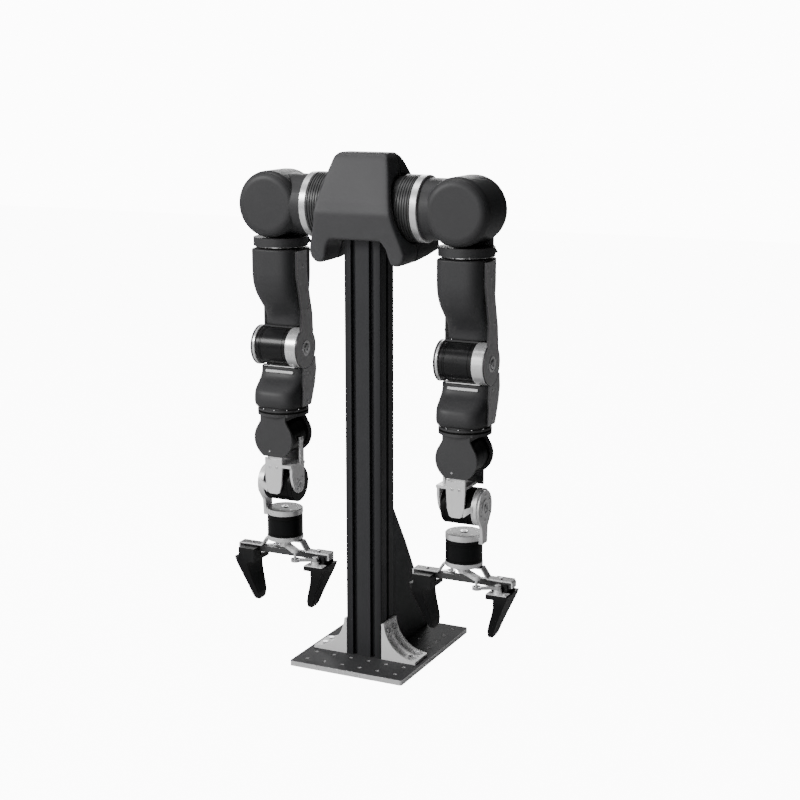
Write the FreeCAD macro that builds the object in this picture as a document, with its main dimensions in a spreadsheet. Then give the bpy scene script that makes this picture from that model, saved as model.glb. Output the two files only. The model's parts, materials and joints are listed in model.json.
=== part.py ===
"""Two seven-joint arms with parallel grippers on a slotted column and a drilled base plate.

Millimetres. +Z is up, the front is -Y, and the robot's own left arm is on +X.
Every driving size is a cell of the Sizes sheet. A length given to the helpers below is an
expression in those cells' names, and it stays bound to them.
"""
import FreeCAD, Part
import os
import re
import Sketcher

SIZES = {
    # base and column
    "plate_width": 190, "plate_depth": 250, "plate_thick": 8, "hole_pitch": 30, "hole_radius": 2.75,
    "column_width": 60, "column_depth": 45, "column_front": -60, "column_top": 735,
    "slot_mouth": 8, "slot_lip": 3, "slot_room": 16, "slot_deep": 10,
    "bracket_leg": 57, "bracket_wall": 4, "bracket_rib": 3.5, "bracket_arc": 56,
    "brace_top": 237, "brace_foot": 112, "brace_wall": 4,
    # torso
    "cover_top": 778, "cover_wall": 3, "cover_split": -30, "mount_wall": 6,
    # arm axes
    "arm_x": 153.5, "arm_y": -30, "shoulder_z": 698, "elbow_z": 478, "bulb_z": 338, "wrist_z": 262,
    "gap": 0.4,
    # shoulder
    "big_motor": 49, "ring_start": -69.2, "ring_end": -58.5, "ring_bore": 20,
    "drum_radius": 50, "drum_front": -46, "drum_back": 22, "drum_wall": 4, "tube_radius": 45,
    "cup_back": 38, "collar_radius": 41.5, "collar_bottom": 634, "collar_top": 647,
    # upper arm and elbow
    "shell_top": 630, "shell_bottom": 509.5, "shell_tail": 498, "shell_half": 39, "shell_deep": 41.5, "shell_round": 30,
    "side_plate": 2.5, "disc_radius": 31, "small_motor": 28.5, "elbow_motor": 28,
    # forearm and wrist
    "forearm_top": 446, "forearm_bottom": 386.5, "flange_radius": 39.5, "bulb_radius": 33,
    "bulb_front": -34, "bulb_back": 31, "bulb_plate": 4, "bulb_flat": 309.5,
    "fork_front": -34, "fork_half": 15, "fork_bottom": 250.5, "fork_bridge": 293,
    # gripper
    "can_top": 220.5, "can_bottom": 170, "strip_half": 8, "strip_thick": 2.5, "strip_reach": 81.5,
    "rail_half": 4.5, "rail_top": 153, "rail_bottom": 143,
    "crank_radius": 40, "crank_start": -39.1, "crank_thick": 5.5, "crank_bottom": 157.5, "pin_radius": 2,
    "finger_near": 45, "finger_far": 80, "block_far": 73, "finger_deep": 24, "finger_base": 129, "finger_tip": 62,
    "knuckle_x": 60, "knuckle_y": -12, "link_length": 30.8, "link_start": -151.9, "link_eye": 4.6,
    "post_radius": 3, "post_fit": 0.08,
}
LEFT, RIGHT = 1, -1
NAMES = {LEFT: "left", RIGHT: "right"}
TURNED = {  # how a sketch lies: its x and y run along these two axes
    "XY": FreeCAD.Rotation(),
    "XZ": FreeCAD.Rotation(FreeCAD.Vector(1, 0, 0), 90),
    "YZ": FreeCAD.Rotation(FreeCAD.Vector(1, 1, 1), 120),
}
NORMAL = {"XY": FreeCAD.Vector(0, 0, 1), "XZ": FreeCAD.Vector(0, 1, 0), "YZ": FreeCAD.Vector(1, 0, 0)}
ALONG = {  # how a cylinder's own Z axis is laid along a row axis
    "X": FreeCAD.Rotation(FreeCAD.Vector(1, 1, 1), 120),
    "Y": FreeCAD.Rotation(FreeCAD.Vector(1, 0, 0), -90),
    "Z": FreeCAD.Rotation(),
}

doc = FreeCAD.newDocument("DualArm")
sheet = doc.addObject("Spreadsheet::Sheet", "Sizes")
for row, (alias, number) in enumerate(SIZES.items(), 1):
    sheet.set(f"A{row}", alias)
    sheet.set(f"B{row}", str(number))
    sheet.setAlias(f"B{row}", alias)
doc.recompute()
finished = []


# Helpers: expressions, simple solids and booleans

def bound(expression):
    """The expression with each cell's name written as FreeCAD wants it, Sizes.name."""
    return re.sub(r"[a-z_]{3,}", lambda m: "Sizes." + m[0] if m[0] in SIZES else m[0], str(expression))


def value(expression):
    return float(sheet.evalExpression(bound(expression)))


def bind(thing, **expressions):
    for name, expression in expressions.items():
        thing.setExpression(name.replace("__", "."), bound(expression))


def put(thing, turn, base):
    thing.Placement = FreeCAD.Placement(FreeCAD.Vector(0, 0, 0), turn)
    bind(thing, Placement__Base__x=base[0], Placement__Base__y=base[1], Placement__Base__z=base[2])
    return thing


def block(xs, ys, zs):
    """A box from the first to the second of each pair."""
    thing = doc.addObject("Part::Box", "Block")
    bind(thing, Length=f"({xs[1]}) - ({xs[0]})", Width=f"({ys[1]}) - ({ys[0]})", Height=f"({zs[1]}) - ({zs[0]})")
    return put(thing, ALONG["Z"], (xs[0], ys[0], zs[0]))


def rod(axis, radius, ends, centre, seam=0):
    """A cylinder along X, Y or Z. centre holds its place on the two other axes, in X, Y, Z order."""
    thing = doc.addObject("Part::Cylinder", "Rod")
    bind(thing, Radius=radius, Height=f"({ends[1]}) - ({ends[0]})")
    base = list(centre)
    base.insert("XYZ".index(axis), ends[0])
    return put(thing, ALONG[axis] * FreeCAD.Rotation(NORMAL["XY"], seam), base)


def prism(plane, corners, ends):
    """A straight-sided outline in a plane, pushed from the first to the second of ends."""
    sketch = doc.addObject("Sketcher::SketchObject", "Outline")
    numbers = [(value(a), value(b)) for a, b in corners]
    for start, end in zip(numbers, numbers[1:] + numbers[:1]):
        sketch.addGeometry(Part.LineSegment(FreeCAD.Vector(*start, 0), FreeCAD.Vector(*end, 0)))
    count = len(corners)
    for i, (a, b) in enumerate(corners):
        sketch.addConstraint(Sketcher.Constraint("Coincident", i, 2, (i + 1) % count, 1))
        for kind, number, expression in (("DistanceX", numbers[i][0], a), ("DistanceY", numbers[i][1], b)):
            index = sketch.addConstraint(Sketcher.Constraint(kind, i, 1, number))
            sketch.setExpression(f"Constraints[{index}]", bound(expression))
    base = [0, 0, 0]
    base[{"XY": 2, "XZ": 1, "YZ": 0}[plane]] = ends[0]
    put(sketch, TURNED[plane], base)
    thing = doc.addObject("Part::Extrusion", "Prism")
    thing.Base, thing.DirMode, thing.Dir, thing.Solid = sketch, "Custom", NORMAL[plane], True
    bind(thing, LengthFwd=f"({ends[1]}) - ({ends[0]})")
    return thing


def fuse(*parts):
    thing = doc.addObject("Part::MultiFuse", "Fusion")
    thing.Shapes, thing.Refine = list(parts), True
    return thing


def compound(*parts):
    thing = doc.addObject("Part::Compound", "Group")
    thing.Links = list(parts)
    return thing


def common(*parts):
    thing = doc.addObject("Part::MultiCommon", "Common")
    thing.Shapes = list(parts)
    return thing


def cut(base, *tools):
    thing = doc.addObject("Part::Cut", "Cut")
    thing.Base, thing.Tool, thing.Refine = base, tools[0] if len(tools) == 1 else fuse(*tools), True
    return thing


def rounded(base, radius, wanted):
    """base with a fillet on each edge whose middle point passes wanted."""
    doc.recompute()
    thing = doc.addObject("Part::Fillet", "Rounded")
    size = value(radius)
    edges = enumerate(base.Shape.Edges, 1)
    thing.Base = base
    thing.Edges = [(i, size, size) for i, e in edges if wanted(e.CenterOfMass, e)]
    return thing


def upright(point, edge):
    """True for a straight edge that stands along Z."""
    ends = [v.Point for v in edge.Vertexes]
    return len(ends) == 2 and abs(ends[0].z - ends[1].z) > 1 and (ends[0] - ends[1]).cross(
        FreeCAD.Vector(0, 0, 1)).Length < 0.01


def done(thing, label, side=None):
    """Names a sub-part. With a side, its local origin moves to that arm's axis."""
    if side is not None and thing.TypeId in ("Part::Box", "Part::Cylinder"):
        thing = compound(thing)
    thing.Label = label
    if side is not None:
        bind(thing, Placement__Base__x=f"{side} * arm_x", Placement__Base__y="arm_y")
    finished.append(thing)


def outward(side, near, far):
    """The X range from near to far, measured outwards from the arm's own middle plane."""
    return (near, far) if side == LEFT else (f"-({far})", f"-({near})")


# Base

def base_plate():
    half_x, half_y = "plate_width / 2", "plate_depth / 2"
    slab = rounded(block((f"-{half_x}", half_x), (f"-{half_y}", half_y), (0, "plate_thick")), 4, upright)
    holes = [rod("Z", "hole_radius", (-1, "plate_thick + 1"), (f"{i} * hole_pitch", f"{j} * hole_pitch"))
             for i in (-2.5, -1.5, -0.5, 0.5, 1.5, 2.5) for j in (-3.5, -2.5, -1.5, -0.5, 0.5, 1.5, 2.5, 3.5)]
    done(cut(slab, *holes), "base_plate")


def column_slot(face, place):
    """The mouth and the wider room of one T-slot. face is the direction that the slot opens to."""
    half_mouth, half_room = "slot_mouth / 2", "slot_room / 2"
    outer = {"-Y": "column_front", "+Y": "column_front + column_depth",
             "-X": "-column_width / 2", "+X": "column_width / 2"}[face]
    inward = -1 if face[0] == "+" else 1
    steps = ((half_mouth, "-1", "slot_lip + 1"), (half_room, "slot_lip", "slot_deep"))
    tools = []
    for half, start, end in steps:
        near, far = f"{outer} + {inward} * ({start})", f"{outer} + {inward} * ({end})"
        deep = (near, far) if inward == 1 else (far, near)
        wide = (f"{place} - {half}", f"{place} + {half}")
        xs, ys = (wide, deep) if face[1] == "Y" else (deep, wide)
        tools.append(block(xs, ys, ("plate_thick - 1", "column_top + 1")))
    return tools


def column():
    body = rounded(block(("-column_width / 2", "column_width / 2"),
                         ("column_front", "column_front + column_depth"),
                         ("plate_thick", "column_top")), 2, upright)
    middle = "(column_front + column_depth / 2)"
    tools = []
    for face in ("-Y", "+Y"):
        for quarter in (-1, 1):
            tools += column_slot(face, f"{quarter} * column_width / 4")
    for face in ("-X", "+X"):
        tools += column_slot(face, middle)
    done(cut(body, *tools), "column")


def corner_brackets():
    """A ribbed, arched angle on each side of the column, on the plate."""
    pair = []
    root_x, back = "column_width / 2", "column_front + column_depth"
    low = "plate_thick"
    for side in (LEFT, RIGHT):
        xs = outward(side, root_x, f"{root_x} + bracket_leg")
        solid = block(xs, ("column_front", back), (low, f"{low} + bracket_leg"))
        arc = rod("Y", "bracket_arc", ("column_front - 1", f"{back} + 1"),
                  (f"{side} * ({root_x} + bracket_wall + bracket_arc)", f"{low} + bracket_wall + bracket_arc"))
        channel = "(column_depth - 3 * bracket_rib) / 2"
        rooms = []
        for step in (0, 1):
            start = f"column_front + bracket_rib + {step} * ({channel} + bracket_rib)"
            rooms.append(block(outward(side, f"{root_x} + bracket_wall", f"{root_x} + bracket_leg + 1"),
                               (start, f"{start} + {channel}"),
                               (f"{low} + bracket_wall", f"{low} + bracket_leg + 1")))
        pair.append(cut(solid, arc, *rooms))
    done(compound(*pair), "corner_brackets")


def bracket_bolts():
    """Two heads up and two heads down in each bracket, standing on its inner faces."""
    heads = []
    channel = "(column_depth - 3 * bracket_rib) / 2"
    for side in (LEFT, RIGHT):
        foot = "column_width / 2 + bracket_wall"
        for step in (0, 1):
            y = f"column_front + bracket_rib + {channel} / 2 + {step} * ({channel} + bracket_rib)"
            heads.append(rod("X", 4.2, outward(side, foot, f"{foot} + 4.5"), (y, "plate_thick + bracket_leg - 13")))
            heads.append(rod("Z", 4.2, ("plate_thick + bracket_wall", "plate_thick + bracket_wall + 4.5"),
                             (f"{side} * (column_width / 2 + bracket_leg - 13)", y)))
    done(compound(*heads), "bracket_bolts")


def rear_brace():
    """A folded gusset behind the column: two cheeks and a curved back, open below and in front."""
    back = "column_front + column_depth"
    outline = [(back, "plate_thick"), ("brace_foot", "plate_thick"), (88, 62), (60, 118), (27, 174), (back, "brace_top")]
    inner = [(f"{back} - 1", "plate_thick - 1"), ("brace_foot - brace_wall", "plate_thick - 1"),
             (83.5, 61), (55.8, 116), (23, 171.5), (f"{back} - 1", "brace_top - 9")]
    half = "column_width / 2"
    done(cut(prism("YZ", outline, (f"-{half}", half)),
             prism("YZ", inner, (f"-{half} + brace_wall", f"{half} - brace_wall"))), "rear_brace")


# Torso

def cover_solid(outset):
    """The torso's outer form, or its inside when outset is negative."""
    o = f"({outset})"
    front_half = [(38, "cover_top"), (44, "cover_top - 6"), (50, 750), (56.6, 720), (61, 700), (64.3, 680),
                  (70, 660), (76, 641), (77.3, 634), (75, 625), (69, 618), (62, 616.5), (54.5, 619), (51, 628),
                  (48.5, 641), (41, 653)]
    right, left = [], []
    for x, z in front_half:
        inner_edge = x in (54.5, 51, 48.5, 41)
        lift = o if z == "cover_top" else (f"-{o}" if x in (69, 62, 54.5, 41) else "0")
        shift = f"-{o}" if inner_edge else ("0" if x == 62 else o)
        right.append((f"{x} + {shift}", f"{z} + {lift}"))
        left.insert(0, (f"-({x} + {shift})", f"{z} + {lift}"))
    facing = prism("XZ", right + left, (-120, 80))
    profile = [(f"-59 - {o}", f"cover_top + {o}"), (f"-64.5 - {o}", "cover_top - 6"), (f"-78.5 - {o}", 740),
               (f"-91 - {o}", 710), (f"-95.3 - {o}", 692), (f"-91.5 - {o}", 677), (f"-84.5 - {o}", 650),
               (f"-81 - {o}", 634), (f"-78 - {o}", f"616 - {o}"), (-22, f"619 - {o}"), (f"45 + {o}", f"631 - {o}"),
               (f"50 + {o}", "645"), (f"15 + {o}", 727), (f"-11 + {o}", 765), (-26, f"cover_top + {o}")]
    return common(facing, prism("YZ", profile, (-120, 120)))


def covers():
    """The torso's shell, cut for the column and the two shoulder motors and split into two halves."""
    half = "column_width / 2"
    shell = cut(cover_solid(0), cover_solid("-cover_wall"),
                block((f"-{half} - 8", f"{half} + 8"), ("column_front - 5", 80), (600, "cover_top - 118")),
                rod("X", "big_motor + 0.8", (-100, 100), ("arm_y", "shoulder_z")))
    doc.recompute()
    done(common(shell, block((-120, 120), (-120, "cover_split"), (600, 800))), "front_cover")
    done(common(shell, block((-120, 120), ("cover_split", 80), (600, 800))), "rear_cover")


def torso_frame():
    """Two cheeks on the column's sides that carry the shoulder motors, tied behind the column."""
    half, back = "column_width / 2", "column_front + column_depth"
    cheeks = [rounded(block(outward(side, half, f"{half} + mount_wall"), (-68, 4), (655, "column_top - 7")), 8,
                      lambda p, e: abs(e.Length - value("mount_wall")) < 0.01) for side in (LEFT, RIGHT)]
    tie = block((f"-{half} - 1", f"{half} + 1"), (back, f"{back} + mount_wall"), (660, "column_top - 12"))
    done(fuse(*cheeks, tie), "torso_frame")


def shoulder_drive(side):
    """The motor that turns a whole arm. It stands on the torso frame and reaches out of the cover."""
    start = "column_width / 2 + mount_wall"
    mid, end = 60, "arm_x + ring_start - gap"
    centre = ("arm_y", "shoulder_z")
    parts = [rod("X", "big_motor - 3", outward(side, start, mid), centre),
             rod("X", "big_motor", outward(side, mid, end), centre)]
    done(cut(fuse(*parts), rod("X", "ring_bore / 2", outward(side, mid, f"{end} + 1"), centre)),
         f"{NAMES[side]}_shoulder_drive")


# Shoulder

def shoulder(side):
    name = NAMES[side]
    axle, spin = (0, "shoulder_z"), (0, "shoulder_z")
    ring = cut(rod("X", "big_motor", outward(side, "ring_start", "ring_end"), axle),
               rod("X", "ring_bore", outward(side, "ring_start - 1", "ring_end + 1"), axle))
    done(ring, f"{name}_shoulder_ring", side)

    drum = rounded(rod("Y", "drum_radius", ("drum_front", "drum_back"), spin, 90), 14,
                   lambda p, e: e.CenterOfMass.y < value("drum_front") + 0.1 and e.Length > 100)
    tube = rod("X", "tube_radius", outward(side, "ring_end", -12), axle, 30)
    room = rod("Y", "drum_radius - drum_wall", ("drum_front + drum_wall", "drum_back + 1"), spin, 90)
    relief = rod("Y", "drum_radius + 0.6", ("drum_back", 70), spin, 90)
    bore = rod("X", "ring_bore", outward(side, "ring_end - 1", -20), axle)
    done(cut(fuse(drum, tube), room, relief, bore), f"{name}_shoulder_housing", side)

    done(rod("Y", "drum_radius - drum_wall - 0.1", ("drum_front + drum_wall", "drum_back"), spin),
         f"{name}_lift_motor", side)

    back = "drum_back + gap"
    cup = rounded(rod("Y", "drum_radius - 0.5", (back, "cup_back"), spin), 9,
                  lambda p, e: e.CenterOfMass.y > value("cup_back") - 0.1 and e.Length > 100)
    neck = prism("XZ", [(-34, "collar_bottom + 2"), (34, "collar_bottom + 2"), (27, "collar_top"),
                        (27, "shoulder_z - 20"), (-27, "shoulder_z - 20"), (-27, "collar_top")],
                 (back, "cup_back - 1"))
    collar = rod("Z", "collar_radius", ("collar_bottom", "collar_top"), (0, 0))
    done(fuse(cup, neck, collar), f"{name}_arm_collar", side)


# Upper arm

def upper_arm(side):
    name = NAMES[side]
    done(rod("Z", "small_motor", (583, "collar_bottom - gap"), (0, 0)), f"{name}_twist_motor", side)

    deep = "shell_deep"
    body = rounded(block(("-shell_half", "shell_half"), (f"-{deep}", deep), ("shell_tail", "shell_top")),
                   "shell_round", upright)
    side_view = [(f"-{deep}", "shell_top"), (f"-{deep}", 590), (-39.5, 576), (-34, 561), (-23, 546), (-11, 533),
                 (-4.5, 523), (-3, "shell_bottom"), (26, "shell_bottom"), (33, "shell_tail"), (40, "shell_tail"),
                 (deep, 540), (deep, "shell_top")]
    front_view = [(-39, "shell_top"), (-39, 592), (-36.5, 570), (-33, 552), (-32, 535), (-32, "shell_tail"),
                  (32, "shell_tail"), (32, 535), (33, 552), (36.5, 570), (39, 592), (39, "shell_top")]
    room = rod("Z", "small_motor + 0.1", (580, "shell_top + 1"), (0, 0))
    form = common(body, prism("YZ", side_view, (-60, 60)), prism("XZ", front_view, (-60, 60)))
    done(cut(form, room), f"{name}_upper_arm_shell", side)

    face = "shell_half"
    outer = prism("YZ", [(-26, 628), (6, 628), (7, 590), (14, 560), (22, 530), (24, 500), (20, 484), (-20, 484),
                         (-14, 515), (-13, 540), (-20, 566), (-26, 592)], (face, f"{face} + side_plate"))
    inner = prism("YZ", [(12, 556), (30, 556), (30, 500), (20, 484), (8, 484), (12, 505)],
                  (f"-{face}", f"-{face} + side_plate"))
    centre = (0, "elbow_z")
    discs = [rod("X", "disc_radius", (face, f"{face} + side_plate"), centre),
             rod("X", "disc_radius", (f"-{face}", f"-{face} + side_plate"), centre)]
    spacer = block((f"-{face} + side_plate", -33.2), (14, 28), (520, 550))
    done(fuse(outer, inner, spacer, *discs), f"{name}_upper_arm_plates", side)
    doc.recompute()

    rings = [rod("X", "disc_radius - 0.5", (20 + 0.4, face), centre),
             rod("X", "disc_radius - 0.5", (f"-{face} + side_plate", -32.4), centre)]
    done(compound(*rings), f"{name}_elbow_rings", side)


# Forearm

def forearm(side):
    name = NAMES[side]
    done(rod("X", "elbow_motor", (-32, 20), (0, "elbow_z")), f"{name}_elbow_motor", side)

    top, bottom = "forearm_top", "forearm_bottom"
    body = rounded(block(("-shell_half", "shell_half"), (-40, 42), (bottom, f"{top} + 16")), 27, upright)
    side_view = [(-10, top), (-10, f"{top} - 8"), (-14, 429), (-26, 420), (-36, 413), (-40, 404),
                 (-40, f"{bottom} + 6"), (-36.5, bottom), (37, bottom), (42, f"{bottom} + 8"), (42, 440),
                 (40, f"{top} + 16"), (34, f"{top} + 16"), (34, top)]
    front_view = [(-38, f"{top} + 16"), (-39, 408), (-39, f"{bottom} + 6"), (-36, bottom),
                  (36, bottom), (39, f"{bottom} + 6"), (39, 408), (38, f"{top} + 16")]
    form = common(body, prism("YZ", side_view, (-60, 60)), prism("XZ", front_view, (-60, 60)))
    motor_room = rod("Z", "small_motor + 0.1", (f"{bottom} - 1", 410.1), (0, 0))
    slot = block((-24.5, 24.5), (-12, -4.9), (432.7, 440.6))
    cradle_room = block((-26.1, 18.1), (-5, 5), (430.9, f"{top} + 1"))
    done(cut(form, motor_room, slot, cradle_room), f"{name}_forearm_shell", side)

    cradle = cut(block((-26, 18), (-4.9, 4.9), (431, f"{top} + 8")),
                 rod("X", "elbow_motor + 0.05", (-60, 60), (0, "elbow_z")))
    face = "shell_half"
    sheet_metal = prism("YZ", [(-7, 455), (31, 461), (33, 440), (28, 418), (19, 396), (15, f"{bottom} + 1"),
                               (-12, f"{bottom} + 1"), (-10, 412)], (face, f"{face} + side_plate"))
    plate = cut(sheet_metal, rod("X", "disc_radius + 0.6", (30, 50), (0, "elbow_z")))
    done(compound(cradle, plate), f"{name}_forearm_frame", side)
    doc.recompute()

    done(rod("Z", "small_motor", (bottom, 410), (0, 0)), f"{name}_roll_motor", side)


# Wrist

def bulb_outline(ends, tongue):
    """The light-bulb outline that both wrist plates share, between two depths."""
    disc = rod("Y", "bulb_radius", ends, (0, "bulb_z"))
    neck = prism("XZ", [(-22, 374), (22, 374), (22, 366), (27.5, 356), (32, 344), (-32, 344), (-27.5, 356),
                        (-22, 366)], ends)
    below = block((-40, 40), (f"{ends[0]} - 1", f"{ends[1]} + 1"), (290, "bulb_flat"))
    plate = cut(fuse(disc, neck), below)
    if not tongue:
        return plate
    return fuse(plate, block((-18, 18), ends, (289, "bulb_flat + 6")))


def wrist_housing(side):
    name = NAMES[side]
    flange = [rod("Z", "flange_radius - 3", (382, "forearm_bottom - gap"), (0, 0)),
              rod("Z", "flange_radius", (373, 383.5), (0, 0))]
    motor_top = "bulb_z + small_motor"
    web = block((-21, 21), ("bulb_front + 1", "bulb_back - 1"), (motor_top, 374))
    front = bulb_outline(("bulb_front", "bulb_front + bulb_plate"), False)
    rear = bulb_outline(("bulb_back - bulb_plate", "bulb_back"), True)
    done(fuse(*flange, web, front, rear), f"{name}_wrist_housing", side)
    done(rod("Y", "small_motor", (-24, "bulb_back - bulb_plate"), (0, "bulb_z")), f"{name}_wrist_motor", side)


def wrist_fork(side):
    """The bright bracket that hangs from the wrist motor and holds the hand motor."""
    name = NAMES[side]
    hub = rod("Y", 26, ("bulb_front + bulb_plate + 0.5", -24.4), (0, "bulb_z"))
    strap = block((-13, 13), ("bulb_front + bulb_plate + 0.5", -24.4), ("fork_bridge", "bulb_z"))
    leg = prism("XZ", [("-fork_half", 312), ("-fork_half", 288), (-13.5, 264), (-10, "fork_bottom + 2"),
                       (-6, "fork_bottom"), (6, "fork_bottom"), (10, "fork_bottom + 2"), (13.5, 264),
                       ("fork_half", 288), ("fork_half", 312)], ("fork_front", "fork_front + 4.2"))
    swept = rod("Y", "bulb_radius + 0.9", ("fork_front - 1", "bulb_front + bulb_plate + 0.4"), (0, "bulb_z"))
    bridge = block(outward(side, -31.5, "fork_half"), ("fork_front", 10), ("fork_bridge", "fork_bridge + 4.5"))
    inner_leg = prism("YZ", [(-31, "fork_bridge + 4.5"), (8, "fork_bridge + 4.5"), (8, 262), (4, 253), (-4, 250),
                             (-12, 250), (-20, 255), (-27, 266), (-31, 280)], outward(side, -31.5, -27.3))
    guide = block(outward(side, -33, -29.6), (-6, 2), ("fork_bridge", "bulb_z"))
    done(fuse(cut(fuse(hub, strap), rod("Y", 8, (-40, -20), (0, "bulb_z"))), cut(leg, swept), bridge, inner_leg,
              guide), f"{name}_wrist_fork", side)
    done(rod("X", "small_motor", outward(side, -27.3, 21.8), (0, "wrist_z")), f"{name}_hand_motor", side)


# Hand

def hand(side):
    name = NAMES[side]
    flange = rod("X", "small_motor", outward(side, 22.2, 30), (0, "wrist_z"))
    arm = prism("YZ", [(-26, 258), (-24.5, 250), (-11, 232), (-9, 207), (9, 207), (11, 232), (24.5, 250), (26, 258),
                       (26, 262), (-26, 262)], outward(side, 29, 33.6))
    top = rod("X", 26, outward(side, 29, 33.6), (0, "wrist_z"))
    lug = cut(block(outward(side, 24, 33), (-9, 9), (207, 217)),
              rod("Z", "small_motor + 0.1", (200, 230), (0, 0)))
    done(fuse(flange, arm, top, lug), f"{name}_hand_bracket", side)
    done(rod("Z", "small_motor", ("can_bottom", "can_top"), (0, 0)), f"{name}_gripper_motor", side)

    t, reach, low = "strip_thick", "strip_reach", "rail_top"
    right = [(31.5, "can_bottom"), (41, f"{low} + {t}"), (f"{reach} - 2", f"{low} + {t}"),
             (reach, f"{low} + {t} - 2"), (reach, f"{low} - 8"), (f"{reach} - {t}", f"{low} - 8"),
             (f"{reach} - {t}", low), (39.5, low), (30.5, f"can_bottom - {t}")]
    left = [(f"-({x})", z) for x, z in reversed(right)]
    strip = cut(prism("XZ", right + left, ("-strip_half", "strip_half")),
                rod("Z", 4.6, ("can_bottom - 6", "can_bottom + 1"), (0, 0)))
    done(strip, f"{name}_gripper_strip", side)
    rail_end = f"{reach} - {t} - 2"
    done(block((f"-({rail_end})", rail_end), ("-rail_half", "rail_half"), ("rail_bottom", "rail_top")),
         f"{name}_gripper_rail", side)


def crank(side):
    """The two-armed horn under the gripper motor, with a pin at each end."""
    top = "crank_bottom + crank_thick"
    parts = [rod("Z", 9, ("crank_bottom", "can_bottom - strip_thick - gap"), (0, 0)),
             rod("Z", 4, ("crank_bottom", "can_bottom - gap"), (0, 0))]
    bar = block(("-crank_radius", "crank_radius"), (-5.5, 5.5), ("crank_bottom", top))
    bar.Placement.Rotation = FreeCAD.Rotation(FreeCAD.Vector(0, 0, 1), value("crank_start"))
    bind(bar, Placement__Base__x="-crank_radius * cos(crank_start * 1 deg) + 5.5 * sin(crank_start * 1 deg)",
         Placement__Base__y="-crank_radius * sin(crank_start * 1 deg) - 5.5 * cos(crank_start * 1 deg)")
    parts.append(bar)
    for end in (1, -1):
        spot = (f"{end} * crank_radius * cos(crank_start * 1 deg)", f"{end} * crank_radius * sin(crank_start * 1 deg)")
        parts.append(rod("Z", 6, ("crank_bottom", top), spot))
        parts.append(rod("Z", "pin_radius", ("rail_bottom - 1", top), spot))
    done(fuse(*parts), f"{NAMES[side]}_crank", side)


def fingers(side):
    """Two equal fingers, half a turn apart: each a guide block, a base, a knuckle post and a curved blade."""
    for turn, tag in ((1, "a"), (-1, "b")):
        def there(near, far):
            return (near, far) if turn == 1 else (f"-({far})", f"-({near})")

        near, far, deep = "finger_near", "finger_far", "finger_deep"
        base_top = "finger_base + 7"
        post = (f"{turn} * knuckle_x", f"{turn} * knuckle_y")
        parts = [prism("XZ", [(f"{turn} * {x}", z) for x, z in
                              ((near, "finger_base"), (77.5, "finger_base"), (far, base_top), (near, base_top))],
                       (f"-{deep}", deep)),
                 block(there(near, "block_far"), there(5, deep), (base_top, "rail_top - 2")),
                 block(there(f"{near} + 3", "block_far"), (-5.2, 5.2), (base_top, "rail_bottom - gap")),
                 block(there(68.5, "block_far"), there(-8, -5), (base_top, "rail_top - 4")),
                 rod("Z", "post_radius + 2", (base_top, "rail_bottom - 0.3"), post),
                 rod("Z", "post_radius", (base_top, "rail_bottom + 6.5"), post)]
        blade = [(57, "finger_base + 1"), (77.8, "finger_base + 1"), (74, 121), (68.5, 108), (62.5, 94), (57, 80),
                 (52.8, 68), (50, "finger_tip + 1"), (47.5, "finger_tip"), (45.6, "finger_tip + 1.5"), (44.4, 67),
                 (44.8, 76), (48, 88), (53, 103), (56.5, 117)]
        depth = [(-24, "finger_base + 1"), (24, "finger_base + 1"), (24, 124), (14, 74), (10, 65), (4, "finger_tip"),
                 (-4, "finger_tip"), (-10, 65), (-14, 74), (-24, 124)]
        flip = [(f"{turn} * ({x})", z) for x, z in blade]
        parts.append(common(prism("XZ", flip, (-30, 30)), prism("YZ", depth, (-90, 90))))
        done(fuse(*parts), f"{NAMES[side]}_finger_{tag}", side)


def links(side):
    """The bar from each finger's post to a crank pin. The eye round the pin is the one left free to float."""
    low, high = "rail_bottom", "rail_bottom + 5"
    for turn, tag in ((1, "a"), (-1, "b")):
        spot = (f"{turn} * knuckle_x", f"{turn} * knuckle_y")
        far = (f"{turn} * (knuckle_x + link_length * cos(link_start * 1 deg))",
               f"{turn} * (knuckle_y + link_length * sin(link_start * 1 deg))")
        bar = block((0, "link_length"), (-3.2, 3.2), (low, high))
        bar.Placement.Rotation = FreeCAD.Rotation(FreeCAD.Vector(0, 0, 1), value("link_start") + 90 * (1 - turn))
        bind(bar, Placement__Base__x=f"{spot[0]} + {turn} * 3.2 * sin(link_start * 1 deg)",
             Placement__Base__y=f"{spot[1]} - {turn} * 3.2 * cos(link_start * 1 deg)")
        whole = fuse(bar, rod("Z", "post_radius + 2.4", (low, high), spot), rod("Z", "link_eye + 2.8", (low, high), far))
        done(cut(whole, rod("Z", "post_radius + post_fit", (f"{low} - 1", f"{high} + 1"), spot),
                 rod("Z", "link_eye", (f"{low} - 1", f"{high} + 1"), far)), f"{NAMES[side]}_link_{tag}", side)


def write():
    doc.recompute()
    for thing in doc.Objects:
        if "Invalid" in thing.State or "Error" in thing.State:
            raise RuntimeError(f"{thing.Name} ({thing.Label}) failed: {thing.State}")
    for thing in finished:
        if thing.Shape.isNull() or not thing.Shape.isValid() or thing.Shape.Volume <= 0:
            raise RuntimeError(f"{thing.Label} has no valid solid")
    os.makedirs("parts", exist_ok=True)
    for thing in finished:
        thing.Shape.exportStep(f"parts/{thing.Label}.step")


base_plate()
column()
corner_brackets()
bracket_bolts()
rear_brace()
torso_frame()
covers()
for arm in (LEFT, RIGHT):
    shoulder_drive(arm)
    shoulder(arm)
    upper_arm(arm)
    forearm(arm)
    wrist_housing(arm)
    wrist_fork(arm)
    hand(arm)
    crank(arm)
    fingers(arm)
    links(arm)
write()
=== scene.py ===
import bpy, bmesh, json, math
from mathutils import Matrix, Vector


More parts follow.
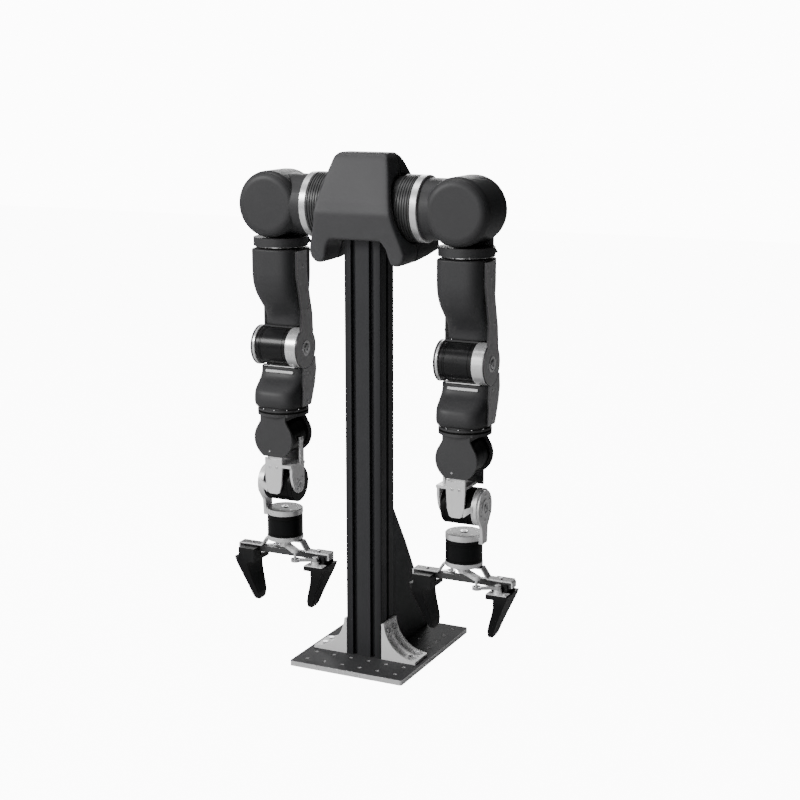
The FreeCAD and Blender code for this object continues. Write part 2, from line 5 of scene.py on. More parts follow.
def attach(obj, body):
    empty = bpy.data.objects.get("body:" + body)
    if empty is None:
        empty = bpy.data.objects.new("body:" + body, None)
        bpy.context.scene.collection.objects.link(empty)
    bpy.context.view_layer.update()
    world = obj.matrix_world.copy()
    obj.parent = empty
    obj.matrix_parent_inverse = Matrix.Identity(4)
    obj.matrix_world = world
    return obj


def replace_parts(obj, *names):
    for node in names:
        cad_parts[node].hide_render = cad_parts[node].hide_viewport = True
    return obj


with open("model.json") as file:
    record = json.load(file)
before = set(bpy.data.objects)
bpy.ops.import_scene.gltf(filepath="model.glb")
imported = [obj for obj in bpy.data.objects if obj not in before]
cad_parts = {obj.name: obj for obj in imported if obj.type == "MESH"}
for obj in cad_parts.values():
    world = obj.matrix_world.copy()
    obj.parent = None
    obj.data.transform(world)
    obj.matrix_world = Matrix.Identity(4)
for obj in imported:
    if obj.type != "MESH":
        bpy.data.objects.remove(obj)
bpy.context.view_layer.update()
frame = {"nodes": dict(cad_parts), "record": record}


nodes = frame["nodes"]
MM = 0.001

# Where the arms' axes are: read from the record's own joints, in millimetres.
pivot = {j["name"]: [c / MM for c in j["pos_m"]] for j in frame["record"]["behaviour"]["joints"] if "pos_m" in j}
ARM_X = pivot["left_shoulder_swing"][0]
ARM_Y, SHOULDER = pivot["left_shoulder_swing"][1:]
ELBOW, BULB, WRIST = (pivot["left_" + k][2] for k in ("elbow", "wrist_tilt", "wrist_pitch"))
SIDES = {"left": 1, "right": -1}
DRUM_R, MOTOR_R = 49, 28.5  # the shoulder drum and the joint motors, radius in millimetres
SHELL_TOP, SHELL_END = 630.0, 509.5  # the upper arm's shell, heights in millimetres
FOREARM_TOP, FOREARM_END = 446, 386.5
LID_Z = 220.8  # the gripper motor's lid


# ---------------------------------------------------------------- materials

def material(name, colour, rough, metal=0.0, grain=900.0, bump=0.12, mottle=0.12, wear=0.25, edge=None,
             streak=None, shine=0.5):
    """A finish with fine grain, uneven gloss, slight colour drift and lighter worn edges."""
    m = bpy.data.materials.new(name)
    m.use_nodes = True
    t = m.node_tree
    n, link = t.nodes, t.links.new
    p = n["Principled BSDF"]
    p.inputs["Metallic"].default_value = metal
    p.inputs["Specular IOR Level"].default_value = shine
    place = n.new("ShaderNodeTexCoord")
    stretch = n.new("ShaderNodeMapping")
    link(place.outputs["Object"], stretch.inputs["Vector"])
    if streak:
        stretch.inputs["Scale"].default_value = streak
    fine = n.new("ShaderNodeTexNoise")
    fine.inputs["Scale"].default_value = grain
    fine.inputs["Detail"].default_value = 4
    link(stretch.outputs["Vector"], fine.inputs["Vector"])
    broad = n.new("ShaderNodeTexNoise")
    broad.inputs["Scale"].default_value = 22
    broad.inputs["Detail"].default_value = 5
    link(place.outputs["Object"], broad.inputs["Vector"])
    gloss = n.new("ShaderNodeMapRange")
    gloss.inputs["To Min"].default_value = max(rough - 0.09, 0.04)
    gloss.inputs["To Max"].default_value = min(rough + 0.09, 1.0)
    link(broad.outputs["Fac"], gloss.inputs["Value"])
    link(gloss.outputs["Result"], p.inputs["Roughness"])
    drift = n.new("ShaderNodeMix")
    drift.data_type = "RGBA"
    drift.inputs["A"].default_value = (*[c * (1 - mottle) for c in colour], 1)
    drift.inputs["B"].default_value = (*[min(c * (1 + mottle), 1) for c in colour], 1)
    link(broad.outputs["Fac"], drift.inputs["Factor"])
    shape = n.new("ShaderNodeNewGeometry")
    ridge = n.new("ShaderNodeMapRange")
    ridge.inputs["From Min"].default_value = 0.53
    ridge.inputs["From Max"].default_value = 0.62
    ridge.inputs["To Max"].default_value = wear
    link(shape.outputs["Pointiness"], ridge.inputs["Value"])
    worn = n.new("ShaderNodeMix")
    worn.data_type = "RGBA"
    worn.inputs["B"].default_value = (*(edge or [min(c * 2.2 + 0.05, 1) for c in colour]), 1)
    link(drift.outputs["Result"], worn.inputs["A"])
    link(ridge.outputs["Result"], worn.inputs["Factor"])
    link(worn.outputs["Result"], p.inputs["Base Color"])
    rise = n.new("ShaderNodeBump")
    rise.inputs["Strength"].default_value = bump
    rise.inputs["Distance"].default_value = 0.0002
    link(fine.outputs["Fac"], rise.inputs["Height"])
    link(rise.outputs["Normal"], p.inputs["Normal"])
    return m


MAT = {
    "dark_cover": material("moulded_cover", (0.070, 0.070, 0.073), 0.55, grain=1400, bump=0.25, mottle=0.08,
                           wear=0.15, shine=0.35),
    "dark_shell": material("moulded_shell", (0.042, 0.042, 0.044), 0.50, grain=1400, bump=0.22, mottle=0.1,
                           wear=0.18, shine=0.35),
    "black_anodised": material("anodised_black", (0.020, 0.020, 0.022), 0.45, metal=0.2, grain=700, bump=0.1,
                               streak=(1, 1, 0.02), wear=0.35, edge=(0.16, 0.16, 0.17), shine=0.3),
    "grey_sheet": material("powder_coat", (0.052, 0.052, 0.054), 0.62, grain=1800, bump=0.35, wear=0.2, shine=0.35),
    "grey_plate": material("anodised_grey", (0.062, 0.062, 0.064), 0.46, metal=0.2, grain=900, wear=0.4,
                           edge=(0.45, 0.45, 0.45), shine=0.35),
    # painted light: the side plates' grey is raised far above their own tone, standing in for the light on their flat
    # sides
    "side_plate": material("plate_grey_and_painted_light", (0.48, 0.48, 0.485), 0.44, metal=0.25, grain=900, wear=0.4,
                           edge=(0.6, 0.6, 0.6)),
    "bare_aluminium": material("satin_aluminium", (0.93, 0.93, 0.935), 0.36, metal=0.3, grain=1200, bump=0.08,
                               mottle=0.05, wear=0.3, edge=(0.97, 0.97, 0.97)),
    "turned": material("turned_aluminium", (0.90, 0.90, 0.905), 0.28, metal=0.6, grain=600, bump=0.12,
                       mottle=0.06, wear=0.3, edge=(0.97, 0.97, 0.97)),
    "steel": material("ground_steel", (0.66, 0.66, 0.67), 0.24, metal=0.95, grain=500, bump=0.1, streak=(0.05, 1, 1),
                      mottle=0.06, wear=0.2),
    "screw": material("screw_steel", (0.70, 0.70, 0.71), 0.28, metal=0.9, grain=900, bump=0.06, wear=0.4),
    "base_top": material("base_top", (0.052, 0.052, 0.054), 0.66, grain=1500, bump=0.2, wear=0.3,
                         edge=(0.4, 0.4, 0.4), shine=0.25),
    "bracket": material("cast_aluminium", (0.97, 0.97, 0.97), 0.5, metal=0.1, grain=900, bump=0.1, mottle=0.03,
                        wear=0.2),
    # The motor cans share one black finish in two copies. This darker, less shiny one is painted shade for the wrist,
    # hand and gripper cans. The next, lighter and shinier one is painted light for the elbow cans.
    "motor_black_shaded": material("motor_black_shaded", (0.003, 0.003, 0.0035), 0.34, grain=900, bump=0.05, wear=0.2,
                           edge=(0.05, 0.05, 0.05), shine=0.12),
    "motor_black": material("motor_can_lit", (0.006, 0.006, 0.007), 0.27, grain=900, bump=0.05, wear=0.25,
                            edge=(0.06, 0.06, 0.06), shine=0.28),
    "motor_face": material("motor_face", (0.030, 0.030, 0.031), 0.36, grain=900, bump=0.08, wear=0.3,
                           edge=(0.2, 0.2, 0.2), shine=0.4),
    "black_plastic": material("printed_black", (0.0045, 0.0045, 0.005), 0.46, grain=500, bump=0.3,
                              streak=(0.04, 0.04, 1), wear=0.3, edge=(0.12, 0.12, 0.12), shine=0.2),
    "rail_black": material("hardened_rail", (0.025, 0.025, 0.027), 0.30, metal=0.6, grain=800, bump=0.06, wear=0.5,
                           edge=(0.4, 0.4, 0.4)),
    # painted shade: near-black rings set into seams and gaps where only shade falls
    "groove": material("painted_gap_shade", (0.004, 0.004, 0.004), 0.8, wear=0.0, shine=0.1),
}


# ---------------------------------------------------------------- building pieces

def piece(name, bm, mat, body, corner=32):
    """A mesh made in millimetres becomes a shaded piece that rides on a body."""
    for v in bm.verts:
        v.co *= MM
    bmesh.ops.recalc_face_normals(bm, faces=bm.faces)
    mesh = bpy.data.meshes.new(name)
    bm.to_mesh(mesh)
    bm.free()
    for f in mesh.polygons:
        f.use_smooth = True
    mesh.set_sharp_from_angle(angle=math.radians(corner))
    obj = bpy.data.objects.new(name, mesh)
    bpy.context.scene.collection.objects.link(obj)
    mesh.materials.append(MAT[mat])
    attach(obj, body)
    return obj


AXIS = {"X": Matrix(((0, 0, 1), (1, 0, 0), (0, 1, 0))), "Y": Matrix(((1, 0, 0), (0, 0, 1), (0, -1, 0))),
        "Z": Matrix.Identity(3)}


def turned(bm, axis, centre, profile, steps=96, squash=1.0):
    """Adds a surface of revolution. profile holds (radius, distance along the axis), closed at both ends."""
    turn, centre = AXIS[axis], Vector(centre)
    rings = []
    for radius, along in profile:
        if radius < 1e-6:
            rings.append([bm.verts.new(turn @ Vector((0, 0, along)) + centre)])
        else:
            rings.append([bm.verts.new(turn @ Vector((radius * math.cos(a), radius * math.sin(a), along)) + centre)
                          for a in (2 * math.pi * i / steps for i in range(steps))])
    for low, high in zip(rings, rings[1:]):
        for i in range(steps):
            quad = [low[i % len(low)], low[(i + 1) % len(low)], high[(i + 1) % len(high)], high[i % len(high)]]
            corners = [v for k, v in enumerate(quad) if v not in quad[:k]]
            if len(corners) > 2:
                bm.faces.new(corners)
    return bm


def solid(radius, start, end, edge=0.8, grooves=()):
    """The profile of a plain round body with broken edges, and grooves given as (where, width, depth)."""
    way = 1 if end > start else -1
    out = [(0, start), (radius - edge, start), (radius, start + way * edge)]
    for where, width, depth in sorted(grooves, key=lambda g: way * g[0]):
        half = way * width / 2
        out += [(radius, where - half), (radius - depth, where - half * 0.8), (radius - depth, where + half * 0.8),
                (radius, where + half)]
    return out + [(radius, end - way * edge), (radius - edge, end), (0, end)]


def ring(outer, inner, start, end, edge=0.5):
    way = 1 if end > start else -1
    return [(inner, start), (outer - edge, start), (outer, start + way * edge), (outer, end - way * edge),
            (outer - edge, end), (inner, end), (inner, start)]


def cap_screw(bm, axis, centre, radius, height, way=1):
    """A cap head with a hexagonal socket. It stands on centre and rises along way."""
    turned(bm, axis, centre, [(0, 0), (radius, 0), (radius, way * height * 0.75), (radius * 0.85, way * height),
                              (radius * 0.55, way * height)], 24)
    turned(bm, axis, centre, [(radius * 0.55, way * height), (radius * 0.5, way * height * 0.5),
                              (0, way * height * 0.5)], 6)


def skin(bm, loops):
    """Joins loops of equal length into a closed body."""
    for low, high in zip(loops, loops[1:]):
        for i in range(len(low)):
            j = (i + 1) % len(low)
            bm.faces.new((low[i], low[j], high[j], high[i]))
    bm.faces.new(list(reversed(loops[0])))
    bm.faces.new(loops[-1])
    return bm


def bar(bm, centre, size, edge):
    """Adds a square bar with rounded edges."""
    box = bmesh.ops.create_cube(bm, size=1)["verts"]
    bmesh.ops.scale(bm, verts=box, vec=size)
    bmesh.ops.translate(bm, verts=box, vec=centre)
    own = [e for e in bm.edges if e.verts[0] in box]
    bmesh.ops.bevel(bm, geom=own, offset=edge, segments=2, affect="EDGES")


def loft(bm, sections, steps=96):
    """A smooth skin through horizontal sections (z, half width, front, back, corner), closed at both ends."""
    rings = []
    for z, half, front, back, corner in sections:
        middle, deep = (front + back) / 2, (back - front) / 2
        power = 2 + 6 * (1 - corner)
        loop = []
        for i in range(steps):
            a = 2 * math.pi * i / steps
            c, s = math.cos(a), math.sin(a)
            loop.append(bm.verts.new((half * math.copysign(abs(c) ** (2 / power), c),
                                      middle + deep * math.copysign(abs(s) ** (2 / power), s), z)))
        rings.append(loop)
    return skin(bm, rings)


def smooth_table(rows, count):
    """Rows of numbers, keyed by their first, resampled with a smooth curve through them."""
    keys = [r[0] for r in rows]
    out = []
    for k in range(count + 1):
        z = keys[0] + (keys[-1] - keys[0]) * k / count
        i = max(j for j in range(len(rows) - 1) if (z - keys[j]) * (keys[-1] - keys[0]) >= -1e-9)
        t = (z - keys[i]) / (keys[i + 1] - keys[i])
        before, after = max(i - 1, 0), min(i + 2, len(rows) - 1)
        new = [z]
        for c in range(1, len(rows[0])):
            a, b = rows[i][c], rows[i + 1][c]
            span = keys[i + 1] - keys[i]
            ma = (b - rows[before][c]) / (keys[i + 1] - keys[before]) * span
            mb = (rows[after][c] - a) / (keys[after] - keys[i]) * span
            if abs(b - a) < 1e-9:
                ma = mb = 0
            new.append((2 * t**3 - 3 * t**2 + 1) * a + (t**3 - 2 * t**2 + t) * ma
                       + (3 * t**2 - 2 * t**3) * b + (t**3 - t**2) * mb)
        out.append(new)
    return out


def moved_to_arm(bm, s):
    bmesh.ops.translate(bm, verts=bm.verts, vec=(s * ARM_X, ARM_Y, 0))
    return bm


def softened(name, node, mat, body, voxel=0.0013, rounds=6):
    """A moulded copy of a CAD shell: the same form with its corners rounded off."""
    copy = bpy.data.objects.new(name, nodes[node].data.copy())
    bpy.context.scene.collection.objects.link(copy)
    copy.data.materials.clear()
    remesh = copy.modifiers.new("remesh", "REMESH")
    remesh.mode, remesh.voxel_size = "VOXEL", voxel
    ease = copy.modifiers.new("ease", "CORRECTIVE_SMOOTH")
    ease.iterations, ease.use_only_smooth, ease.factor = rounds, True, 0.5
    bpy.context.view_layer.update()
    mesh = bpy.data.meshes.new_from_object(copy.evaluated_get(bpy.context.evaluated_depsgraph_get()))
    bpy.data.objects.remove(copy)
    for f in mesh.polygons:
        f.use_smooth = True
    obj = bpy.data.objects.new(name, mesh)
    bpy.context.scene.collection.objects.link(obj)
    mesh.materials.clear()
    mesh.materials.append(MAT[mat])
    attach(obj, body)
    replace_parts(obj, node)
    return obj


# ---------------------------------------------------------------- CAD nodes that stay: finish and broken edges

slot_of = {s["node"]: s["material_slot"] for s in frame["record"]["subparts"]}
for name, obj in nodes.items():
    obj.data.materials.clear()
    obj.data.materials.append(MAT[slot_of[name]])
    for f in obj.data.polygons:
        f.use_smooth = True
    if name.endswith("_gripper_strip"):  # dark above, bright on its bent edges
        obj.data.materials.append(MAT["motor_face"])
        for f in obj.data.polygons:
            f.material_index = 1 if abs(f.normal.z) > 0.9 else 0
    if name == "base_plate":  # bare metal where it was sawn and drilled
        obj.data.materials[0] = MAT["base_top"]
        obj.data.materials.append(MAT["turned"])
        for f in obj.data.polygons:
            f.material_index = 0 if abs(f.normal.z) > 0.5 else 1
    if name == "corner_brackets":
        obj.data.materials[0] = MAT["bracket"]
    # the plates' flat sides get the pale plate grey, which is partly painted light; every other face gets the dark
    # finish
    if name.endswith(("_arm_plates", "_forearm_frame")):
        obj.data.materials[0] = MAT["side_plate"]
        obj.data.materials.append(MAT["motor_face"])  # the cut edges are dark
        for f in obj.data.polygons:
            f.material_index = 0 if abs(f.normal.x) > 0.7 else 1
    if name.endswith("_gripper_rail"):
        obj.data.materials[0] = MAT["rail_black"]
    weld = obj.modifiers.new("weld", "WELD")
    weld.merge_threshold = 0.00001
    bevel = obj.modifiers.new("edges", "BEVEL")
    bevel.width, bevel.segments = (0.0009 if "finger" in name else 0.0006), 2
    bevel.limit_method, bevel.angle_limit = "ANGLE", math.radians(38)
    even = obj.modifiers.new("shade", "WEIGHTED_NORMAL")
    even.keep_sharp, even.weight = True, 80


# ---------------------------------------------------------------- torso

softened("front_cover_skin", "front_cover", "dark_cover", "stand", rounds=24)
softened("rear_cover_skin", "rear_cover", "dark_cover", "stand", rounds=14)


# ---------------------------------------------------------------- arms

def shoulder(side, s):
    """Drive, bright ring, black ring of painted shade in the seam, and screws of one shoulder."""
    body = side + "_shoulder_body"
    inner, start = -s * 69.2, -s * (ARM_X - 36)
    drive = turned(bmesh.new(), "X", (0, 0, SHOULDER),
                   solid(46, start, -s * 93.5, 0.5)[:-2] + [(46, -s * 93.5), (48.2, -s * 93.4)]
                   + solid(DRUM_R, -s * 93.4, inner - s * 0.4, 1.0,
                           [(-s * (73 + 4 * k), 1.4, 1.3) for k in range(5)])[2:])
    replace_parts(piece(side + "_shoulder_drive_body", moved_to_arm(drive, s), "motor_face", "stand", 25),
                side + "_shoulder_drive")
    band = turned(bmesh.new(), "X", (0, 0, SHOULDER), ring(DRUM_R, 22, inner, -s * 58.5, 0.8))
    for k in range(16):
        a = 2 * math.pi * (k + 0.5) / 16
        cap_screw(band, "X", (inner, 45 * math.cos(a), SHOULDER + 45 * math.sin(a)), 1.6, 0.2, -s)
    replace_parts(piece(side + "_shoulder_band", moved_to_arm(band, s), "turned", body, 25), side + "_shoulder_ring")

    # a thin black ring at the seam between the drum's front and rear shells: painted shade
    seam = turned(bmesh.new(), "Y", (0, 0, SHOULDER), ring(49.2, 44, 21.9, 22.5, 0.1))
    piece(side + "_shoulder_seam_shade", moved_to_arm(seam, s), "groove", body)
    specks = bmesh.new()
    for k in range(8):
        a = math.radians(22.5 + 45 * k)
        cap_screw(specks, "Y", (39.5 * math.cos(a), 37.8, SHOULDER + 39.5 * math.sin(a)), 2.0, 1.0)
    piece(side + "_cup_screws", moved_to_arm(specks, s), "screw", side + "_collar_body")
    lip = turned(bmesh.new(), "Z", (0, 0, 0), ring(37, 20, 632.6, 633.9, 0.2))
    for k in range(10):
        a = math.radians(36 * k + 12)
        cap_screw(lip, "Z", (38.2 * math.cos(a), 38.2 * math.sin(a), 634.1), 1.5, 1.6, -1)
    piece(side + "_collar_lip", moved_to_arm(lip, s), "screw", side + "_collar_body")


def upper_arm(side, s):
    """Shell, elbow bolts, bright elbow bands and the guard over the elbow can."""
    body = side + "_upper_arm"
    rows = [(SHELL_TOP, 38.6, -41, 41, 0.8), (604, 38.6, -41, 41.2, 0.8), (588, 38.4, -40.6, 41.3, 0.8),
            (575, 37.4, -38.6, 41.3, 0.8), (562, 35.4, -33.8, 41.2, 0.8), (549, 33.4, -24.5, 41, 0.82),
            (535, 32.2, -12, 40.5, 0.84), (524, 32, -5, 40, 0.84), (SHELL_END, 31.8, -3.2, 39.8, 0.84)]
    sections = smooth_table(rows, 60)
    top = [[SHELL_TOP + dz, h - inset, f + inset, b - inset, c] for (_, h, f, b, c), dz, inset in
           [(rows[0], 0.0, 1.6), (rows[0], -0.5, 0.6), (rows[0], -1.6, 0.0)]]
    end = rows[-1]
    bottom = [[SHELL_END + dz, end[1] - i, end[2] + i, end[3] - i / 4, end[4]]
              for dz, i in ((1.6, 0.0), (0.5, 0.6), (0.0, 2.0))]
    tail = [[509.4, 31, 27, 39.6, 0.84], [504, 31, 30.4, 39.6, 0.84], [498.4, 30.6, 32.8, 39.4, 0.84]]
    sections = top + [r for r in sections if 511.2 < r[0] < 628] + bottom + tail
    shell = loft(bmesh.new(), sections)
    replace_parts(piece(side + "_upper_shell", moved_to_arm(shell, s), "dark_shell", body, 60),
                side + "_upper_arm_shell")

    bits = bmesh.new()
    for y, z in ((-6, 604), (9, 536)):
        cap_screw(bits, "X", (41.3, y, z), 1.9, 1.2)
    for y, z in ((21, 548), (20, 520)):
        cap_screw(bits, "X", (-41.3, y, z), 2.1, 1.2, -1)
    for face, way in ((41.4, 1), (-41.4, -1)):
        turned(bits, "X", (face, 0, ELBOW), ring(12, 8.5, 0, way * 1.0, 0.3), 48)
        cap_screw(bits, "X", (face, 0, ELBOW), 7.0, 2.4, way)
    piece(side + "_elbow_bolts", moved_to_arm(bits, s), "screw", body)
    bands = turned(bmesh.new(), "X", (0, 0, ELBOW), ring(30.5, 12, 20.4, 39, 1.0))
    turned(bands, "X", (0, 0, ELBOW), ring(30.5, 12, -36.5, -32.4, 0.8))
    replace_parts(piece(side + "_elbow_bands", moved_to_arm(bands, s), "turned", body, 25), side + "_elbow_rings")
    guard = bmesh.new()  # closes the slot between the shell's lower edge and the elbow can
    loops = []
    for k in range(13):
        a = math.radians(16 + 76 * k / 12)
        loops.append([guard.verts.new((x, r * math.cos(a), ELBOW + r * math.sin(a)))
                      for x, r in ((-32.2, 28.8), (20.2, 28.8), (20.2, 31.5), (-32.2, 31.5))])
    piece(side + "_elbow_guard", moved_to_arm(skin(guard, loops), s), "dark_shell", body, 40)


def forearm(side, s):
    """Elbow can, shell and bright bars."""
    body = side + "_forearm"
    motor = turned(bmesh.new(), "X", (0, 0, ELBOW),
                   solid(28, -32, 20, 0.8, [(-26, 0.9, 0.6), (-23.5, 0.9, 0.6), (13.5, 0.9, 0.6)]))
    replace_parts(piece(side + "_elbow_can", moved_to_arm(motor, s), "motor_black", body, 25), side + "_elbow_motor")
    rows = [(FOREARM_TOP, 38.2, -10, 41.5, 0.66), (437, 38.4, -10.5, 41.7, 0.68), (428, 38.6, -16, 41.8, 0.7),
            (419, 38.8, -28, 41.8, 0.76), (411, 38.9, -36.6, 41.8, 0.76), (402, 38.9, -39.6, 41.8, 0.78),
            (394, 38.9, -39.8, 41.6, 0.78), (FOREARM_END, 37, -38, 39, 0.78)]
    sections = [r for r in smooth_table(rows, 44) if r[0] < 444.8 and r[0] > 388.2]
    first, last = rows[0], rows[-1]
    top = [[FOREARM_TOP - dz, first[1] - i, first[2] + i, first[3] - i, first[4]]
           for dz, i in ((0, 1.4), (0.4, 0.4), (1.2, 0))]
    end = [[FOREARM_END + dz, last[1] - i, last[2] + i, last[3] - i, last[4]] for dz, i in ((0.6, 0.6), (0, 2.0))]
    shell = loft(bmesh.new(), top + sections + end)
    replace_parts(piece(side + "_lower_shell", moved_to_arm(shell, s), "dark_shell", body, 60),
                side + "_forearm_shell")
    trim = bmesh.new()
    for low, high, half in ((437.6, 441.4, 24), (447.1, 448.4, 27)):
        bar(trim, (0, -10.4, (low + high) / 2), (2 * half, 3.0, high - low), 0.5)
    piece(side + "_forearm_bars", moved_to_arm(trim, s), "bare_aluminium", body)
    bits = bmesh.new()
    for y, z in ((4, 439), (3, 395)):
        cap_screw(bits, "X", (41.3, y, z), 1.9, 1.1)
    piece(side + "_forearm_screws", moved_to_arm(bits, s), "screw", body)


def wrist(side, s):
    """Both wrist motors, and the screws and ears of the fork between them."""
    body = side + "_wrist"
    # a thin black ring at the wrist flange: painted shade in the gap there
    lip = turned(bmesh.new(), "Z", (0, 0, 0), ring(39.7, 30, 377.5, 380.5, 0.2))
    piece(side + "_flange_gap_shade", moved_to_arm(lip, s), "groove", body)
    specks = bmesh.new()
    for k in range(12):
        a = math.radians(30 * k + 8)
        cap_screw(specks, "Z", (37.9 * math.cos(a), 37.9 * math.sin(a), 383.4), 1.2, 1.4)
    piece(side + "_flange_screws", moved_to_arm(specks, s), "screw", body)
    can = turned(bmesh.new(), "Y", (0, 0, BULB),
                 solid(MOTOR_R, -24, 27, 0.8, [(-17, 0.8, 0.5), (2, 0.8, 0.5), (20, 0.8, 0.5)]))
    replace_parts(piece(side + "_wrist_can", moved_to_arm(can, s), "motor_black_shaded", body, 25), side + "_wrist_motor")
    bits = bmesh.new()
    cap_screw(bits, "Y", (-6, -33.9, 318), 1.6, 0.8, -1)
    piece(side + "_bulb_screw", moved_to_arm(bits, s), "screw", body)

    fork = side + "_fork"
    can = turned(bmesh.new(), "X", (0, 0, WRIST),
                 solid(MOTOR_R, -s * 27.3, s * 21.8, 0.8, [(-s * 20, 0.8, 0.5), (s * 8, 0.8, 0.5), (s * 15, 0.8, 0.5)]))
    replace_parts(piece(side + "_hand_can", moved_to_arm(can, s), "motor_black_shaded", fork, 25), side + "_hand_motor")
    bits = bmesh.new()
    for x in (-5.7, 5.7):
        cap_screw(bits, "Y", (x, -34.1, 293.3), 2.1, 0.7, -1)
    for y, z in ((-14, 272), (2, 272), (-14, 256), (2, 256)):
        cap_screw(bits, "X", (-s * 31.3, y, z), 2.0, 1.2, -s)
    turned(bits, "X", (-s * 31.3, -8, 264), ring(6, 3.5, 0, -s * 1.0, 0.3), 36)
    piece(side + "_fork_screws", moved_to_arm(bits, s), "screw", fork)
    ears = bmesh.new()
    turned(ears, "X", (-s * 31.3, -2, 333), [(0, 0), (4.6, 0), (4.9, -s * 0.8), (4.2, -s * 2.2), (2.5, -s * 2.8),
                                            (0, -s * 2.9)], 40)
    turned(ears, "X", (-s * 31.3, -6, 257), [(0, 0), (6.4, 0), (6.8, -s * 0.8), (6, -s * 2), (3.5, -s * 2.6),
                                            (0, -s * 2.7)], 40)
    arch = [(s * (12 + 13 * t), -33.6 + 4.2 * t * t, 258 + 7 * t) for t in (0, 0.25, 0.5, 0.75, 1.0)]
    loops = [[ears.verts.new((x + dx, y + dy, z + dz)) for dx, dy, dz in
              ((0, 0, -6 + 2 * k / 4), (0, 2.8, -6 + 2 * k / 4), (0, 2.8, 6 - 1.5 * k / 4), (0, 0, 6 - 1.5 * k / 4))]
             for k, (x, y, z) in enumerate(arch)]
    skin(ears, loops)
    piece(side + "_fork_ears", moved_to_arm(ears, s), "bare_aluminium", fork, 40)


def hand(side, s):
    """Gripper motor with its lid and rims, and the hand's screws."""
    body = side + "_hand"
    bits = bmesh.new()
    turned(bits, "X", (s * 33.5, 0, WRIST), ring(13, 8.5, 0, s * 1.2, 0.4), 48)
    cap_screw(bits, "X", (s * 33.5, 0, WRIST), 5.0, 1.8, s)
    for k in range(6):
        a = math.radians(60 * k + 30)
        cap_screw(bits, "X", (s * 33.5, 19 * math.cos(a), WRIST + 19 * math.sin(a)), 1.8, 0.9, s)
    turned(bits, "Z", (0, 0, LID_Z), ring(6.0, 3.5, 0, 1.4, 0.4), 36)
    cap_screw(bits, "Z", (0, 0, LID_Z), 3.4, 2.2)
    for k in range(8):
        a = math.radians(45 * k + 10)
        cap_screw(bits, "Z", (20.5 * math.cos(a), 20.5 * math.sin(a), LID_Z), 1.2, 0.5)
    for x in (-60, 60):
        cap_screw(bits, "Z", (x, 0, 155.4), 2.6, 2.2)
    for x in (-20, 20):
        cap_screw(bits, "Z", (x, 0, 167.6), 1.8, 0.8, -1)
    piece(side + "_hand_screws", moved_to_arm(bits, s), "screw", body)
    can = turned(bmesh.new(), "Z", (0, 0, 0), solid(27.9, 176.5, 212, 0.5, [(181, 0.8, 0.5), (205, 0.8, 0.5)]))
    top = turned(bmesh.new(), "Z", (0, 0, 0), [(0, 220.9), (27.4, 220.9), (27.9, 220.5), (0, 220.0)])
    piece(side + "_gripper_lid", moved_to_arm(top, s), "motor_face", body, 25)
    can = piece(side + "_gripper_can", moved_to_arm(can, s), "motor_black_shaded", body, 25)
    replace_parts(can, side + "_gripper_motor")
    caps = turned(bmesh.new(), "Z", (0, 0, 0), ring(MOTOR_R, 24.6, 211.6, 220.5, 0.7))
    turned(caps, "Z", (0, 0, 0), ring(MOTOR_R, 5, 170, 177, 0.7))
    piece(side + "_gripper_rims", moved_to_arm(caps, s), "turned", body, 25)


def fingers(side, s):
    """The bright plate, post and screws on top of each finger."""
    for turn, tag in ((1, "a"), (-1, "b")):
        body = "%s_finger_%s_body" % (side, tag)
        plate = bmesh.new()
        bar(plate, (turn * 61.5, turn * -15.2, 136.7), (32.4, 17.0, 1.2), 0.35)
        turned(plate, "Z", (turn * 60, turn * -12, 0), solid(6.0, 137.1, 142.6, 0.5), 36)
        turned(plate, "Z", (turn * 60, turn * -12, 0), solid(4.6, 148.3, 149.6, 0.4), 36)
        cap_screw(plate, "Z", (turn * 73, turn * -18, 137.3), 1.9, 1.3)
        cap_screw(plate, "Z", (turn * 49, turn * -18, 137.3), 1.9, 1.3)
        piece("%s_finger_%s_plate" % (side, tag), moved_to_arm(plate, s), "bare_aluminium", body)


for side, s in SIDES.items():
    shoulder(side, s)
    upper_arm(side, s)
    forearm(side, s)
    wrist(side, s)
    hand(side, s)
    fingers(side, s)


# ---------------------------------------------------------------- floor, light and camera

bpy.ops.mesh.primitive_plane_add(size=12, location=(0, 0, -0.0005))
FLOOR_GLOW, BACKDROP_GLOW = 11.0, 12.0  # as the camera sees them
floor = bpy.context.object
floor.name = "floor"
pale = bpy.data.materials.new("pale_floor")
pale.use_nodes = True
skin = pale.node_tree.nodes["Principled BSDF"]
skin.inputs["Base Color"].default_value = (0.5, 0.5, 0.5, 1)
skin.inputs["Roughness"].default_value = 0.9
skin.inputs["Emission Color"].default_value = (1, 1, 1, 1)
glow = pale.node_tree.nodes.new("ShaderNodeMapRange")  # a lit studio floor: bright itself, but it lights little
glow.inputs["To Min"].default_value, glow.inputs["To Max"].default_value = 0.02, FLOOR_GLOW
sight = pale.node_tree.nodes.new("ShaderNodeLightPath")
pale.node_tree.links.new(sight.outputs["Is Camera Ray"], glow.inputs["Value"])
pale.node_tree.links.new(glow.outputs["Result"], skin.inputs["Emission Strength"])
floor.data.materials.append(pale)


def lamp(name, place, aim, size, power):
    light = bpy.data.lights.new(name, "AREA")
    light.shape, light.size, light.energy = "DISK", size, power
    obj = bpy.data.objects.new(name, light)
    obj.location = place
    obj.rotation_euler = (Vector(aim) - Vector(place)).to_track_quat("-Z", "Y").to_euler()
    bpy.context.scene.collection.objects.link(obj)


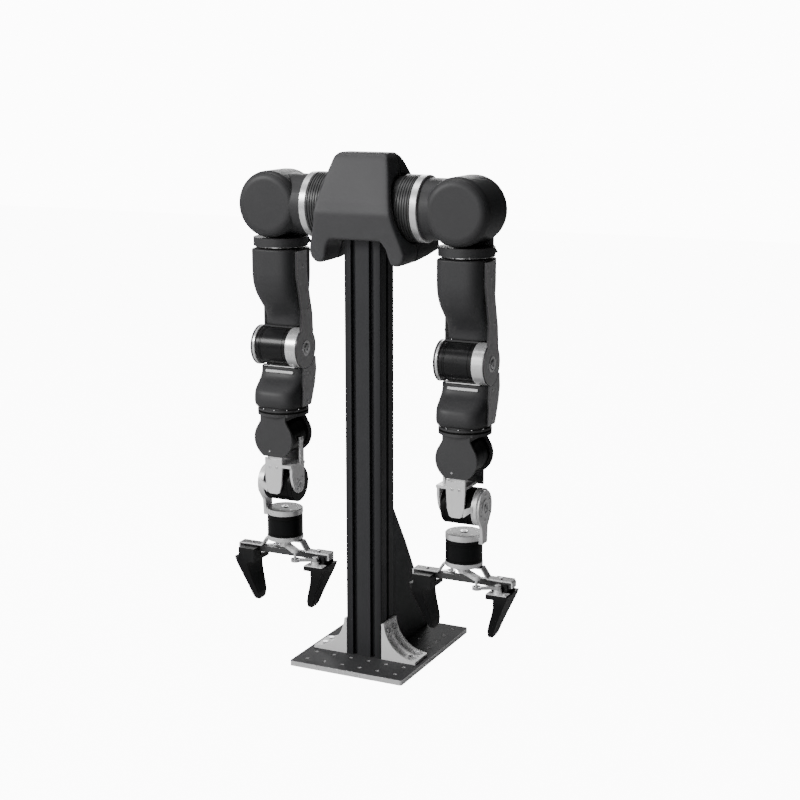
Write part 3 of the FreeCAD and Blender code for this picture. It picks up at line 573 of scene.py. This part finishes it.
lamp("key", (-1.9, -2.2, 2.0), (0, 0, 0.42), 1.0, 70)
lamp("front", (-0.2, -3.0, 0.9), (0, 0, 0.4), 1.6, 20)
lamp("top", (-0.5, -0.2, 2.8), (0, 0, 0.4), 1.2, 16)
lamp("rim", (-1.0, 2.2, 1.4), (0, 0, 0.5), 1.0, 18)

world = bpy.data.worlds.new("studio")  # a white room that is bright on the left and dim on the right
world.use_nodes = True
tree = world.node_tree
lit = tree.nodes["Background"]
lit.inputs["Color"].default_value = (1, 1, 1, 1)
way = tree.nodes.new("ShaderNodeTexCoord")
part = tree.nodes.new("ShaderNodeSeparateXYZ")
side_light = tree.nodes.new("ShaderNodeMapRange")
side_light.inputs["From Min"].default_value, side_light.inputs["From Max"].default_value = 0.5, -1.0
side_light.inputs["To Min"].default_value, side_light.inputs["To Max"].default_value = 0.01, 0.5
tree.links.new(way.outputs["Generated"], part.inputs["Vector"])
tree.links.new(part.outputs["X"], side_light.inputs["Value"])
tree.links.new(side_light.outputs["Result"], lit.inputs["Strength"])
backdrop = tree.nodes.new("ShaderNodeBackground")
backdrop.inputs["Color"].default_value = (1, 1, 1, 1)
backdrop.inputs["Strength"].default_value = BACKDROP_GLOW
seen = tree.nodes.new("ShaderNodeLightPath")
pick = tree.nodes.new("ShaderNodeMixShader")
tree.links.new(seen.outputs["Is Camera Ray"], pick.inputs["Fac"])
tree.links.new(lit.outputs["Background"], pick.inputs[1])
tree.links.new(backdrop.outputs["Background"], pick.inputs[2])
tree.links.new(pick.outputs["Shader"], tree.nodes["World Output"].inputs["Surface"])
bpy.context.scene.world = world

lens = bpy.data.cameras.new("photo_camera")
lens.lens, lens.sensor_width = 70.32, 36
camera = bpy.data.objects.new("photo_camera", lens)  # the photograph's viewing angle
eye, aim = Vector((1.03529, -2.08834, 0.90396)), Vector((0.0473, -0.030, 0.4114))
camera.location = eye
camera.rotation_euler = (aim - eye).to_track_quat("-Z", "Y").to_euler()
bpy.context.scene.collection.objects.link(camera)
bpy.context.scene.camera = camera

bpy.context.view_layer.update()
